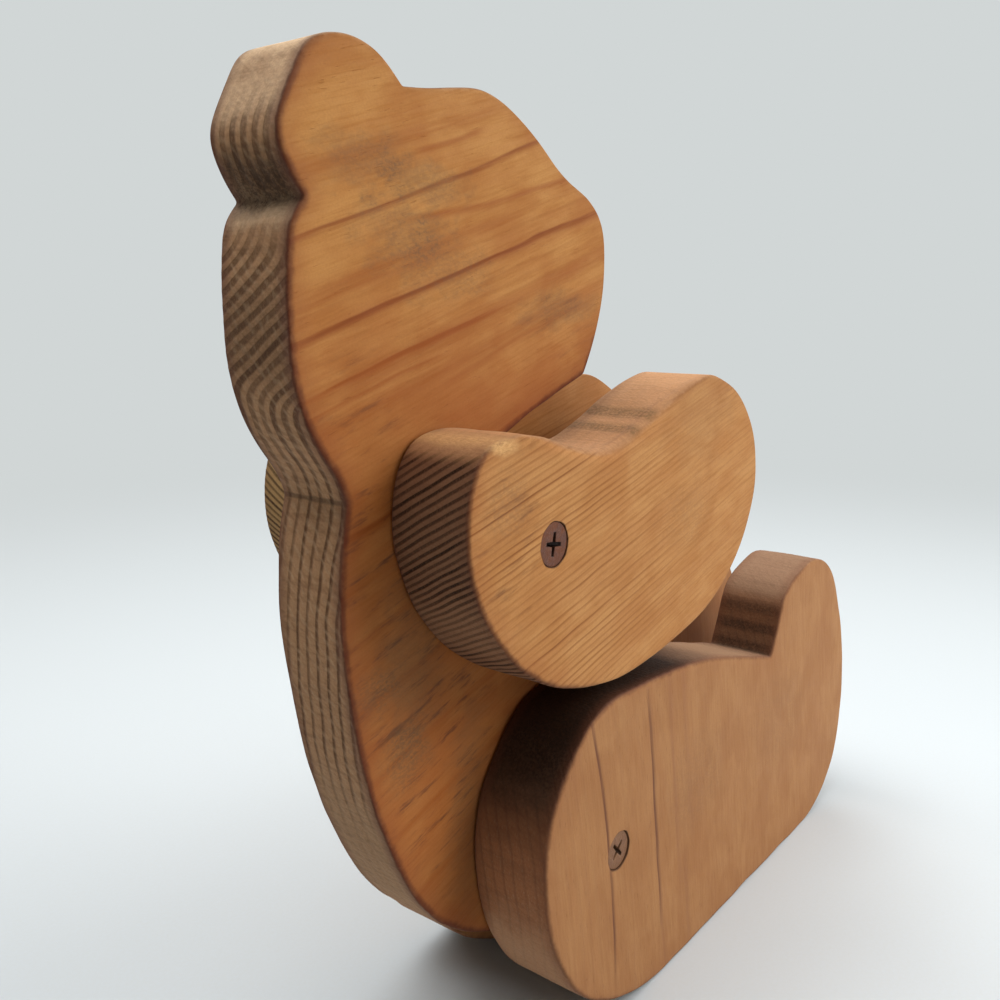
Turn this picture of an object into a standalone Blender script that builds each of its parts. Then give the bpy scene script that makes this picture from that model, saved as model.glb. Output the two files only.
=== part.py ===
# Jointed wooden bear, cut in profile from five flat boards.
# The head and torso are one board. The arms and legs lie flat against its two
# sides, and each of them turns on a wood screw sunk in a counterbore.
# The bear faces +X, its left side is +Y, and its legs lie on Z = 0. All lengths are in metres.

import math

import bmesh
import bpy
import numpy as np
from mathutils import Matrix

MM = 0.001

# Boards
BODY_THICKNESS = 19.0 * MM
ARM_THICKNESS = 20.3 * MM
LEG_THICKNESS = 21.0 * MM
EDGE_ROUNDING = 0.9 * MM
LIMB_CLEARANCE = 0.3 * MM

# Overall sizes of the three outlines, from end to end
BODY_HEIGHT = 206.9 * MM
ARM_LENGTH = 130.2 * MM
LEG_LENGTH = 191.5 * MM

# How the limbs are set out
ARM_TO_LEG_GAP = 3.9 * MM
HIP_AHEAD_OF_SHOULDER = 28.5 * MM
LEFT_ARM_LOWERED = math.radians(1.2)

# Wood screws, one size throughout
HEAD_DIAMETER = 9.7 * MM
HEAD_RIM = 0.35 * MM
COUNTERSINK_ANGLE = math.radians(82.0)
SHANK_DIAMETER = 4.8 * MM
CORE_DIAMETER = 3.3 * MM
THREAD_PITCH = 1.95 * MM
THREADED_SHARE = 0.6
POINT_LENGTH = 4.0 * MM
POINT_BLUNTNESS = 0.12
TIP_TO_BOARD_CENTRE = 3.7 * MM
ARM_SCREW_SUNK = 0.3 * MM
LEG_SCREW_SUNK = 0.5 * MM

# Cross recess in a screw's head, and how far it is turned in an arm and in a leg
RECESS_WIDTH = 5.4 * MM
RECESS_SLOT = 1.25 * MM
RECESS_DEPTH = 2.4 * MM
RECESS_FLOOR_SHARE = 0.45
ARM_RECESS_TURN = math.radians(-9.0)
LEG_RECESS_TURN = math.radians(43.0)

# Clearances round a screw
BORE_CLEARANCE = 0.3 * MM
SCREW_CLEARANCE = 0.3 * MM

# How finely curves are divided
OUTLINE_STEP = 3.4 * MM
ROUND_STEPS = 28
SCREW_SIDES = 16
STATIONS_PER_PITCH = 4
WELD_DISTANCE = 0.01 * MM

# The outlines are drawn in plain numbers, about a millimetre each, and set to the sizes above.
# The body's is drawn from the shoulder screw, as smooth runs that meet in corners.
SNOUT_AND_FOREHEAD = [
    (41.4, 32.7), (44.9, 38.6), (47.8, 45.2), (49.8, 52.5), (50.5, 60.0), (49.7, 66.2),
    (47.0, 71.4), (42.6, 74.7), (36.0, 77.3), (29.4, 80.7), (22.8, 85.1), (15.0, 89.5),
    (8.0, 92.3), (1.5, 93.4), (-5.0, 92.8), (-14.0, 91.4), (-21.9, 90.4),
]
EAR = [
    (-21.9, 90.4), (-24.8, 92.9), (-29.5, 95.7), (-35.0, 96.9), (-40.5, 96.3), (-45.2, 94.2),
    (-48.6, 89.4), (-51.3, 84.2), (-52.9, 79.0), (-51.8, 74.6), (-47.5, 68.3),
]
BACK_OF_HEAD = [
    (-47.5, 68.3), (-50.4, 64.6), (-51.6, 59.0), (-52.1, 51.0), (-51.9, 42.0), (-51.0, 35.4),
    (-48.8, 28.6), (-44.8, 21.8), (-41.0, 16.2), (-39.5, 12.4),
]
BACK_AND_SEAT = [
    (-39.5, 12.4), (-41.2, 3.2), (-42.0, -6.5), (-41.6, -18.0), (-40.1, -29.0), (-37.7, -41.5),
    (-34.4, -53.5), (-29.4, -66.6), (-22.8, -79.6), (-14.6, -90.0), (-4.0, -98.2), (8.0, -104.4),
    (21.0, -108.6), (35.0, -110.0), (48.0, -107.8), (60.0, -101.0), (69.6, -90.0), (75.4, -76.0),
    (77.0, -61.0), (74.4, -46.0), (68.4, -31.0), (59.6, -17.4), (48.6, -5.8), (36.0, 3.6),
    (22.0, 11.4), (9.0, 20.4),
]
UNDER_JAW = [
    (9.0, 20.4), (19.6, 24.9), (31.0, 28.9), (41.4, 32.7),
]
BODY_RUNS = [SNOUT_AND_FOREHEAD, EAR, BACK_OF_HEAD, BACK_AND_SEAT, UNDER_JAW]

# The arm's outline, from the shoulder screw, is one closed run.
ARM_OUTLINE = [
    (-16.6, 24.4), (-22.4, 22.6), (-26.4, 17.6), (-28.3, 10.2), (-28.2, 2.6), (-25.6, -6.0),
    (-20.8, -14.6), (-13.8, -22.4), (-4.2, -29.6), (7.6, -34.9), (20.8, -37.9), (36.0, -38.7),
    (51.5, -37.0), (66.5, -34.1), (79.6, -29.4), (90.4, -21.8), (97.6, -12.8), (101.3, -3.2),
    (101.4, 6.0), (97.7, 15.8), (90.3, 23.8), (81.0, 29.0), (71.4, 31.6), (62.0, 30.6),
    (52.6, 27.9), (43.4, 24.3), (34.6, 20.8), (25.6, 18.2), (16.4, 18.3), (6.4, 20.7),
    (-5.0, 23.6),
]

# The leg's outline, from the hip screw, starts at the front of the flat underside, and its
# two runs meet in the corner between the foot and the shin.
FOOT = [
    (126.0, -48.6), (137.0, -46.8), (146.4, -42.4), (153.8, -35.2), (158.2, -25.2), (160.0, -12.6),
    (159.2, -0.4), (156.4, 12.0), (151.6, 24.2), (145.6, 35.6), (138.2, 43.8), (129.2, 48.4),
    (120.4, 49.8), (111.6, 48.2), (103.4, 45.6), (98.4, 41.8), (94.8, 34.4), (90.1, 25.0),
]
SHIN_AND_THIGH = [
    (90.1, 25.0), (73.0, 29.9), (56.0, 34.8), (40.0, 38.2), (24.0, 40.1), (8.0, 41.2),
    (-6.0, 41.0), (-15.4, 37.6), (-22.6, 30.6), (-28.6, 22.4), (-31.4, 11.0), (-30.8, -1.0),
    (-27.6, -13.0), (-21.6, -24.2), (-12.8, -34.4), (-1.4, -41.8), (12.0, -46.6), (28.0, -48.6),
]
ALONG_FLOOR = (1.0, 0.0)

# Colours as linear red, green and blue
BODY_WOOD = (0.43, 0.18, 0.058)
ARM_WOOD = (0.50, 0.235, 0.085)
LEG_WOOD = (0.44, 0.205, 0.078)
SCREW_STEEL = (0.17, 0.12, 0.095)


def smooth_run(points, start_along=None, end_along=None, closed=False):
    """Return points along a curve through the given ones, with even curvature at each of them."""
    knots = np.array(points + points[:1] if closed else points) * MM
    gaps = np.linalg.norm(np.diff(knots, axis=0), axis=1)
    count = len(knots)
    rows = np.zeros((count, count))
    right = np.zeros((count, 2))
    slopes = np.diff(knots, axis=0) / gaps[:, None]
    for i in range(1, count - 1):
        rows[i, i - 1] = gaps[i]
        rows[i, i] = 2 * (gaps[i - 1] + gaps[i])
        rows[i, i + 1] = gaps[i - 1]
        right[i] = 3 * (gaps[i] * slopes[i - 1] + gaps[i - 1] * slopes[i])
    if closed:
        rows[0, -2] = gaps[0]
        rows[0, 0] = 2 * (gaps[-1] + gaps[0])
        rows[0, 1] = gaps[-1]
        right[0] = 3 * (gaps[0] * slopes[-1] + gaps[-1] * slopes[0])
        rows[-1, 0] = 1
        rows[-1, -1] = -1
    else:
        ends = ((0, 1, slopes[0], start_along), (count - 1, count - 2, slopes[-1], end_along))
        for end, inner, slope, along in ends:
            rows[end, end] = 1 if along else 2
            rows[end, inner] = 0 if along else 1
            right[end] = along if along else 3 * slope
    tangents = np.linalg.solve(rows, right)
    placed = []
    for i in range(count - 1):
        steps = max(2, math.ceil(gaps[i] / OUTLINE_STEP))
        for t in np.arange(steps) / steps:
            placed.append(
                (2 * t**3 - 3 * t**2 + 1) * knots[i]
                + (t**3 - 2 * t**2 + t) * gaps[i] * tangents[i]
                + (3 * t**2 - 2 * t**3) * knots[i + 1]
                + (t**3 - t**2) * gaps[i] * tangents[i + 1]
            )
    return placed


def to_size(outline, axis, size):
    """Scale an outline about its screw so that it measures size along one of its axes."""
    return outline * (size / np.ptp(outline[:, axis]))


def body_outline():
    drawn = np.array([point for run in BODY_RUNS for point in smooth_run(run)])
    return to_size(drawn, 1, BODY_HEIGHT)


def arm_outline():
    return to_size(np.array(smooth_run(ARM_OUTLINE, closed=True)), 0, ARM_LENGTH)


def leg_outline():
    """Return the leg's outline, and how high its thigh rises above the hip."""
    foot = smooth_run(FOOT, start_along=ALONG_FLOOR)
    thigh = smooth_run(SHIN_AND_THIGH, end_along=ALONG_FLOOR)
    flat_start = np.array(SHIN_AND_THIGH[-1]) * MM
    shape = to_size(np.array(foot + thigh + [flat_start]), 0, LEG_LENGTH)
    return shape, shape[len(foot):, 1].max()


def new_material(name, colour, roughness, metallic):
    material = bpy.data.materials.new(name)
    material.use_nodes = True
    surface = material.node_tree.nodes["Principled BSDF"]
    surface.inputs["Base Color"].default_value = (*colour, 1.0)
    surface.inputs["Roughness"].default_value = roughness
    surface.inputs["Metallic"].default_value = metallic
    return material


def new_collection(name):
    collection = bpy.data.collections.new(name)
    bpy.context.scene.collection.children.link(collection)
    return collection


def add_object(name, mesh, collection, location, turn=None):
    placed = bpy.data.objects.new(name, mesh)
    placed.location = location
    if turn:
        placed.rotation_euler = turn
    collection.objects.link(placed)
    return placed


def board_mesh(name, outline, thickness):
    """Cut a board to an outline in X and Z, centred on Y = 0, with its edges rounded over."""
    curve = bpy.data.curves.new(name + "_outline", "CURVE")
    curve.dimensions = "2D"
    curve.fill_mode = "BOTH"
    curve.extrude = thickness / 2
    spline = curve.splines.new("POLY")
    spline.points.add(len(outline) - 1)
    for point, (x, z) in zip(spline.points, outline):
        point.co = (x, z, 0, 1)
    spline.use_cyclic_u = True
    drawn = bpy.data.objects.new(name + "_outline", curve)
    bpy.context.scene.collection.objects.link(drawn)
    graph = bpy.context.evaluated_depsgraph_get()
    mesh = bpy.data.meshes.new_from_object(drawn.evaluated_get(graph))
    mesh.name = name
    bpy.data.objects.remove(drawn)
    bpy.data.curves.remove(curve)

    solid = bmesh.new()
    solid.from_mesh(mesh)
    bmesh.ops.remove_doubles(solid, verts=solid.verts, dist=WELD_DISTANCE)
    bmesh.ops.dissolve_limit(
        solid, angle_limit=math.radians(0.5), verts=solid.verts, edges=solid.edges)
    bmesh.ops.transform(solid, matrix=Matrix.Rotation(math.pi / 2, 4, "X"), verts=solid.verts)
    bmesh.ops.recalc_face_normals(solid, faces=solid.faces)
    rim_edges = [
        edge for edge in solid.edges
        if len({round(abs(face.normal.y)) for face in edge.link_faces}) == 2
    ]
    bmesh.ops.bevel(
        solid, geom=rim_edges, offset=EDGE_ROUNDING, segments=2, profile=0.5, affect="EDGES")
    solid.to_mesh(mesh)
    solid.free()
    mesh.shade_smooth()
    mesh.set_sharp_from_angle(angle=math.radians(35))
    return mesh


def turned_mesh(name, profile):
    """Turn a closed profile of (radius, height) pairs, listed from the top down, about Z."""
    angles = np.arange(ROUND_STEPS) * 2 * math.pi / ROUND_STEPS
    rings = [
        [(radius * math.cos(a), radius * math.sin(a), height) for a in angles]
        for radius, height in profile
    ]
    return lofted_mesh(name, rings)


def lofted_mesh(name, rings):
    """Skin a solid over rings of points listed from the top down, with a flat face on each end."""
    solid = bmesh.new()
    loops = [[solid.verts.new(point) for point in ring] for ring in rings]
    for upper, lower in zip(loops, loops[1:]):
        for i, corner in enumerate(upper):
            following = (i + 1) % len(upper)
            solid.faces.new((corner, lower[i], lower[following], upper[following]))
    solid.faces.new(loops[0])
    solid.faces.new(reversed(loops[-1]))
    mesh = bpy.data.meshes.new(name)
    solid.to_mesh(mesh)
    solid.free()
    return mesh


def cone_drop():
    """Depth of a countersunk head's cone, from its rim down to the shank."""
    return (HEAD_DIAMETER - SHANK_DIAMETER) / 2 / math.tan(COUNTERSINK_ANGLE / 2)


def screw_mesh(name, length):
    """A countersunk wood screw along Z, with the top of its head at Z = 0 and its point down."""
    head_bottom = HEAD_RIM + cone_drop()
    thread_length = length * THREADED_SHARE
    thread_top = length - thread_length
    depths = [0.0, HEAD_RIM, head_bottom, thread_top]
    stations = int(thread_length / THREAD_PITCH * STATIONS_PER_PITCH)
    depths += list(np.linspace(thread_top, length, stations + 1)[1:])
    angles = np.arange(SCREW_SIDES) * 2 * math.pi / SCREW_SIDES

    def radius(depth, angle):
        if depth < head_bottom:
            return HEAD_DIAMETER / 2
        if depth <= thread_top:
            return SHANK_DIAMETER / 2
        turns = depth / THREAD_PITCH + angle / (2 * math.pi)
        crest = 1 - 2 * abs(turns % 1 - 0.5)
        rise = (SHANK_DIAMETER - CORE_DIAMETER) / 2 * crest
        taper = min(1.0, POINT_BLUNTNESS + (1 - POINT_BLUNTNESS) * (length - depth) / POINT_LENGTH)
        return (CORE_DIAMETER / 2 + rise) * taper

    rings = [
        [(radius(d, a) * math.cos(a), radius(d, a) * math.sin(a), -d) for a in angles]
        for d in depths
    ]
    mesh = lofted_mesh(name, rings)
    mesh.shade_smooth()
    mesh.set_sharp_from_angle(angle=math.radians(35))
    return mesh


def recess_mesh(name):
    """A cross-shaped cutter that narrows downwards from just above a screw's head."""
    half = RECESS_WIDTH / 2
    slot = RECESS_SLOT / 2
    quarter = [(half, -slot), (half, slot), (slot, slot)]
    cross = []
    for turn in range(4):
        c = round(math.cos(turn * math.pi / 2))
        s = round(math.sin(turn * math.pi / 2))
        cross += [(c * x - s * y, s * x + c * y) for x, y in quarter]
    above = HEAD_RIM

    def ring(share, height):
        return [
            (x * share if abs(x) > slot else x, y * share if abs(y) > slot else y, height)
            for x, y in cross
        ]

    return lofted_mesh(
        name, [ring(1.0, above), ring(1.0, 0.0), ring(RECESS_FLOOR_SHARE, -RECESS_DEPTH)])


def seat_mesh(name, sunk, thickness):
    """The hole through a limb: a counterbore, a countersunk seat and a clearance hole."""
    bore = HEAD_DIAMETER / 2 + BORE_CLEARANCE
    hole = SHANK_DIAMETER / 2 + SCREW_CLEARANCE
    seat_depth = HEAD_RIM + SCREW_CLEARANCE
    hole_depth = seat_depth + (bore - hole) / math.tan(COUNTERSINK_ANGLE / 2)
    past_face = thickness
    return turned_mesh(name, [
        (bore, sunk + past_face), (bore, -seat_depth),
        (hole, -hole_depth), (hole, -thickness - past_face),
    ])


def pilot_mesh(name, bite):
    """The blind hole in the body's face that holds the end of a screw."""
    hole = SHANK_DIAMETER / 2 + SCREW_CLEARANCE
    past_face = bite
    return turned_mesh(name, [(hole, past_face), (hole, -bite - SCREW_CLEARANCE)])


def cut(target, cutter):
    modifier = target.modifiers.new(cutter.name, "BOOLEAN")
    modifier.operation = "DIFFERENCE"
    modifier.solver = "EXACT"
    modifier.object = cutter
    cutter.hide_render = True
    cutter.display_type = "WIRE"


def add_limb(name, outward, pivot, lowered, shape, board, recess_turn, body, bear, cutters):
    """Add a limb, its screw and the holes for it, on the side that outward points to."""
    thickness, sunk, wood, steel = board
    x, z = pivot
    face = BODY_THICKNESS / 2
    bite = face - TIP_TO_BOARD_CENTRE
    inner_face = face + LIMB_CLEARANCE
    head_top = inner_face + thickness - sunk
    screw_turn = (-outward * math.pi / 2, 0, 0)

    limb = add_object(
        name, board_mesh(name, shape, thickness), bear,
        (x, outward * (inner_face + thickness / 2), z), (0, lowered, 0))
    limb.data.materials.append(wood)
    screw = add_object(
        name + "_screw", screw_mesh(name + "_screw", head_top - face + bite), bear,
        (x, outward * head_top, z), screw_turn)
    screw.data.materials.append(steel)

    seat = add_object(
        name + "_seat", seat_mesh(name + "_seat", sunk, thickness), cutters,
        (x, outward * head_top, z), screw_turn)
    cut(limb, seat)
    pilot = add_object(
        name + "_pilot", pilot_mesh(name + "_pilot", bite), cutters,
        (x, outward * face, z), screw_turn)
    cut(body, pilot)
    recess = add_object(
        name + "_recess", recess_mesh(name + "_recess"), cutters,
        (x, outward * head_top, z), (-outward * math.pi / 2, recess_turn, 0))
    cut(screw, recess)


def build():
    for old in list(bpy.data.objects):
        bpy.data.objects.remove(old)
    bear = new_collection("jointed_wooden_bear")
    cutters = new_collection("cutters")

    body_shape = body_outline()
    arm_shape = arm_outline()
    leg_shape, thigh_rise = leg_outline()

    # The legs' undersides stand on Z = 0, and the arms clear the thighs by the stated gap.
    hip_height = -leg_shape[:, 1].min()
    shoulder_height = hip_height + thigh_rise + ARM_TO_LEG_GAP - arm_shape[:, 1].min()
    rearmost = min(body_shape[:, 0].min(), arm_shape[:, 0].min())
    foremost = HIP_AHEAD_OF_SHOULDER + leg_shape[:, 0].max()
    shoulder_x = -(rearmost + foremost) / 2
    shoulder = (shoulder_x, shoulder_height)
    hip = (shoulder_x + HIP_AHEAD_OF_SHOULDER, hip_height)

    steel = new_material("screw_steel", SCREW_STEEL, 0.5, 0.8)
    body = add_object(
        "head_and_body", board_mesh("head_and_body", body_shape, BODY_THICKNESS), bear,
        (shoulder_x, 0, shoulder_height))
    body.data.materials.append(new_material("body_board", BODY_WOOD, 0.6, 0.0))
    arm_board = (ARM_THICKNESS, ARM_SCREW_SUNK, new_material("arm_board", ARM_WOOD, 0.6, 0.0), steel)
    leg_board = (LEG_THICKNESS, LEG_SCREW_SUNK, new_material("leg_board", LEG_WOOD, 0.6, 0.0), steel)
    for side, outward, arm_lowered in (("right", -1, 0.0), ("left", 1, LEFT_ARM_LOWERED)):
        add_limb(
            side + "_arm", outward, shoulder, arm_lowered, arm_shape, arm_board,
            ARM_RECESS_TURN, body, bear, cutters)
        add_limb(
            side + "_leg", outward, hip, 0.0, leg_shape, leg_board,
            LEG_RECESS_TURN, body, bear, cutters)


build()
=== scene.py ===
# Jointed wooden bear: boards, screws, floor, lights and camera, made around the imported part.

import math

import bpy
import numpy as np
from mathutils import Euler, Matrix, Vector
from mathutils.geometry import delaunay_2d_cdt


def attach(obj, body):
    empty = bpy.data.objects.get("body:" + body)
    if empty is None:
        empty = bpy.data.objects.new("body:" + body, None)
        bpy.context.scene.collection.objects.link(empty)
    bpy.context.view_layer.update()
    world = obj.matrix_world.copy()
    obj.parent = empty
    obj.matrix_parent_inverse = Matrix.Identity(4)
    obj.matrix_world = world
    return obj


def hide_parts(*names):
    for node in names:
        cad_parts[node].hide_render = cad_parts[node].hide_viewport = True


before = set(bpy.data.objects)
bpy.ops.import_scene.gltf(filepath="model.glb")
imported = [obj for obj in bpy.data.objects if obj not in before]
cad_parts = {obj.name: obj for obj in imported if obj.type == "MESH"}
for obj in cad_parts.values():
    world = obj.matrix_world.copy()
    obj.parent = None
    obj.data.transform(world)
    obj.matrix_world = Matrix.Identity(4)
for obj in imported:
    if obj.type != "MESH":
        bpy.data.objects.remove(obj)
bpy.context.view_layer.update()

mm = 0.001
scene = bpy.context.scene

# Where the limbs turn, in millimetres: x and z of the two screw lines
shoulder = np.array([-67.796, 132.725])
hip = np.array([-39.296, 48.597])


def linearColour(tone):
    # Screen values from 0 to 255 turned to linear light
    part = np.array(tone) / 255.0
    light = np.where(part <= 0.04045, part / 12.92, ((part + 0.055) / 1.055) ** 2.4)
    return (*light.tolist(), 1.0)


def easeBetween(low, high, value):
    # Smooth step: 0 below low, 1 above high, 3t^2 - 2t^3 between
    share = np.clip((value - low) / (high - low), 0.0, 1.0)
    return share * share * (3.0 - 2.0 * share)


def turned(u, v, angle):
    # Places measured along and across a direction at this angle
    return math.cos(angle) * u + math.sin(angle) * v, -math.sin(angle) * u + math.cos(angle) * v


def ripple(points, seed, size, count=10):
    # Unevenness: the sum of sine waves in random directions, each about size long, over the
    # root of their number
    rng = np.random.default_rng(seed)
    waves = rng.normal(size=(points.shape[1], count))
    waves *= 2 * np.pi / size * rng.uniform(0.6, 1.5, count) / np.linalg.norm(waves, axis=0)
    return np.sin(points @ waves + rng.uniform(0, 2 * np.pi, count)).sum(axis=1) / math.sqrt(count)


# Outlines in millimetres from the screw line: runs of points, with a corner where two runs meet

bodyRuns = [
    [(41.4, 32.7), (44.9, 38.6), (47.8, 45.2), (49.8, 52.5), (50.5, 60.0), (49.7, 66.2), (47.0, 71.4),
     (42.6, 74.7), (36.0, 77.3), (29.4, 80.7), (22.8, 85.1), (15.0, 89.5), (8.0, 92.3), (1.5, 93.4),
     (-5.0, 92.8), (-14.0, 91.4), (-21.9, 90.4)],
    [(-21.9, 90.4), (-24.8, 92.9), (-29.5, 95.7), (-35.0, 96.9), (-40.5, 96.3), (-45.2, 94.2),
     (-48.6, 89.4), (-51.3, 84.2), (-52.9, 79.0), (-51.8, 74.6), (-47.5, 68.3)],
    [(-47.5, 68.3), (-50.4, 64.6), (-51.6, 59.0), (-52.1, 51.0), (-51.9, 42.0), (-51.0, 35.4),
     (-48.8, 28.6), (-44.8, 21.8), (-41.0, 16.2), (-39.5, 12.4)],
    [(-39.5, 12.4), (-41.2, 3.2), (-42.0, -6.5), (-41.6, -18.0), (-40.1, -29.0), (-37.7, -41.5),
     (-34.4, -53.5), (-29.4, -66.6), (-22.8, -79.6), (-14.6, -90.0), (-4.0, -98.2), (8.0, -104.4),
     (21.0, -108.6), (35.0, -110.0), (48.0, -107.8), (60.0, -101.0), (69.6, -90.0), (75.4, -76.0),
     (77.0, -61.0), (74.4, -46.0), (68.4, -31.0), (59.6, -17.4), (48.6, -5.8), (36.0, 3.6),
     (22.0, 11.4), (9.0, 20.4)],
    [(9.0, 20.4), (19.6, 24.9), (31.0, 28.9), (41.4, 32.7)],
]
armRuns = [
    [(-16.6, 24.4), (-22.4, 22.6), (-26.4, 17.6), (-28.3, 10.2), (-28.2, 2.6), (-25.6, -6.0),
     (-20.8, -14.6), (-13.8, -22.4), (-4.2, -29.6), (7.6, -34.9), (20.8, -37.9), (36.0, -38.7),
     (51.5, -37.0), (66.5, -34.1), (79.6, -29.4), (90.4, -21.8), (97.6, -12.8), (101.3, -3.2),
     (101.4, 6.0), (97.7, 15.8), (90.3, 23.8), (81.0, 29.0), (71.4, 31.6), (62.0, 30.6),
     (52.6, 27.9), (43.4, 24.3), (34.6, 20.8), (25.6, 18.2), (16.4, 18.3), (6.4, 20.7),
     (-5.0, 23.6), (-16.6, 24.4)],
]
sole = -48.6
legRuns = [
    [(126.0, sole), (137.0, -46.8), (146.4, -42.4), (153.8, -35.2), (158.2, -25.2), (160.0, -12.6),
     (159.2, -0.4), (156.4, 12.0), (151.6, 24.2), (145.6, 35.6), (138.2, 43.8), (129.2, 48.4),
     (120.4, 49.8), (111.6, 48.2), (103.4, 45.6), (98.4, 41.8), (94.8, 34.4), (90.1, 25.0)],
    [(90.1, 25.0), (73.0, 29.9), (56.0, 34.8), (40.0, 38.2), (24.0, 40.1), (8.0, 41.2), (-6.0, 41.0),
     (-15.4, 37.6), (-22.6, 30.6), (-28.6, 22.4), (-31.4, 11.0), (-30.8, -1.0), (-27.6, -13.0),
     (-21.6, -24.2), (-12.8, -34.4), (-1.4, -41.8), (12.0, -46.6), (28.0, sole)],
    [(28.0, sole), (126.0, sole)],
]
level = (1.0, 0.0)


def smoothRun(points, startAlong, endAlong, closed, step=0.4):
    # Cubic spans through the points, with equal curvature on both sides of each of them, drawn
    # in steps of 0.4 mm at most. An end without a direction is straight
    knots = np.array(points, float)
    gaps = np.linalg.norm(np.diff(knots, axis=0), axis=1)
    slopes = np.diff(knots, axis=0) / gaps[:, None]
    count = len(knots)
    rows = np.zeros((count, count))
    right = np.zeros((count, 2))
    inner = np.arange(1, count - 1)
    rows[inner, inner - 1] = gaps[1:]
    rows[inner, inner] = 2 * (gaps[:-1] + gaps[1:])
    rows[inner, inner + 1] = gaps[:-1]
    right[1:-1] = 3 * (gaps[1:, None] * slopes[:-1] + gaps[:-1, None] * slopes[1:])
    if closed:
        rows[0, [-2, 0, 1]] = gaps[0], 2 * (gaps[-1] + gaps[0]), gaps[-1]
        right[0] = 3 * (gaps[0] * slopes[-1] + gaps[-1] * slopes[0])
        rows[-1, [0, -1]] = 1, -1
    else:
        for end, beside, along in ((0, 1, startAlong), (-1, -2, endAlong)):
            rows[end, [end, beside]] = (1, 0) if along else (2, 1)
            right[end] = along if along else 3 * slopes[end]
    tangents = np.linalg.solve(rows, right)
    placed = []
    for i in range(count - 1):
        t = (np.arange(math.ceil(gaps[i] / step)) / math.ceil(gaps[i] / step))[:, None]
        placed.append(
            (2 * t**3 - 3 * t**2 + 1) * knots[i] + (t**3 - 2 * t**2 + t) * gaps[i] * tangents[i]
            + (3 * t**2 - 2 * t**3) * knots[i + 1] + (t**3 - t**2) * gaps[i] * tangents[i + 1])
    return np.vstack(placed)


def evenLoop(runs, directions):
    # The outline in equal steps, each point averaged with its neighbours over about soften
    drawn = np.vstack([smoothRun(run, *ends, closed=len(runs) == 1) for run, ends in zip(runs, directions)])
    ring = np.vstack([drawn, drawn[:1]])
    run = np.concatenate([[0.0], np.cumsum(np.linalg.norm(np.diff(ring, axis=0), axis=1))])
    count = int(run[-1] / boardLook["outlineStep"])
    at = np.arange(count) * run[-1] / count
    even = np.column_stack([np.interp(at, run, ring[:, 0]), np.interp(at, run, ring[:, 1])])
    turns = np.fft.fftfreq(count, d=run[-1] / count)
    blur = np.exp(-2 * (np.pi * turns * boardLook["soften"]) ** 2)[:, None]
    loop = np.real(np.fft.ifft(np.fft.fft(even, axis=0) * blur, axis=0))
    area = np.sum(loop[:, 0] * np.roll(loop[:, 1], -1) - loop[:, 1] * np.roll(loop[:, 0], -1))
    return loop if area > 0 else loop[::-1]


def loopNormals(loop):
    # Outward across the outline: the tangent turned a quarter turn clockwise
    along = np.roll(loop, -1, axis=0) - np.roll(loop, 1, axis=0)
    along /= np.linalg.norm(along, axis=1)[:, None]
    return np.column_stack([along[:, 1], -along[:, 0]])


def inParts(points, measure, most=1500):
    # A few points at a time, to spare memory
    return np.concatenate([measure(part) for part in np.array_split(points, max(1, len(points) // most))])


def insideLoop(points, loop):
    # Crossings of a ray to the right of each point are odd inside the loop
    (x, z), (aheadX, aheadZ) = loop.T, np.roll(loop, -1, axis=0).T
    rise = np.where(aheadZ == z, 1e-9, aheadZ - z)

    def crossings(part):
        u, v = part[:, :1], part[:, 1:]
        return (((z > v) != (aheadZ > v)) & (u < x + (v - z) / rise * (aheadX - x))).sum(axis=1)
    return inParts(points, crossings) % 2 == 1


def gapToLoop(points, loop):
    # Distance from each point to the nearest point of the loop
    return inParts(points, lambda part: np.sqrt(((part[:, None] - loop) ** 2).sum(axis=2).min(axis=1)))


def fillFace(edge, rings, spacing):
    # A flat face: a lattice of equal triangles inside the edge and outside the holes,
    # joined to the points of both
    low, high = edge.min(axis=0), edge.max(axis=0)
    rows = np.arange(low[1], high[1], spacing * math.sqrt(3) / 2)
    lattice = np.stack(np.meshgrid(np.arange(low[0], high[0], spacing), rows), axis=-1)
    lattice[1::2, :, 0] += spacing / 2
    lattice = lattice.reshape(-1, 2)
    lattice = lattice[insideLoop(lattice, edge)]
    lattice = lattice[gapToLoop(lattice, edge) > spacing * 0.55]
    for ring in rings:
        middle = ring.mean(axis=0)
        reach = np.linalg.norm(ring - middle, axis=1).max()
        lattice = lattice[np.linalg.norm(lattice - middle, axis=1) > reach + spacing * 0.5]
    points = np.vstack([edge] + rings + [lattice])
    sides, start = [], 0
    for loop in [edge] + rings:
        ids = np.arange(start, start + len(loop))
        sides += np.column_stack([ids, np.roll(ids, -1)]).tolist()
        start += len(loop)
    made = delaunay_2d_cdt([Vector(p) for p in points], sides, [], 0, 1e-7)
    back = np.array([origin[0] for origin in made[3]])
    triangles = back[np.array(made[2])]
    middles = points[triangles].mean(axis=1)
    keep = insideLoop(middles, edge)
    for ring in rings:
        keep &= ~insideLoop(middles, ring)
    triangles = triangles[keep]
    a, b, c = (points[triangles[:, i]] for i in range(3))
    turn = (b[:, 0] - a[:, 0]) * (c[:, 1] - a[:, 1]) - (b[:, 1] - a[:, 1]) * (c[:, 0] - a[:, 0])
    triangles[turn < 0] = triangles[turn < 0][:, ::-1]
    return lattice, triangles


def gridQuads(first, rows, columns):
    # Four-cornered faces between neighbouring rows of points, each row closed on itself
    ids = first + np.arange(rows * columns).reshape(rows, columns)
    ahead = np.roll(ids, -1, axis=1)
    return np.stack([ids[:-1], ahead[:-1], ahead[1:], ids[1:]], axis=-1).reshape(-1, 4)


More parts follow.
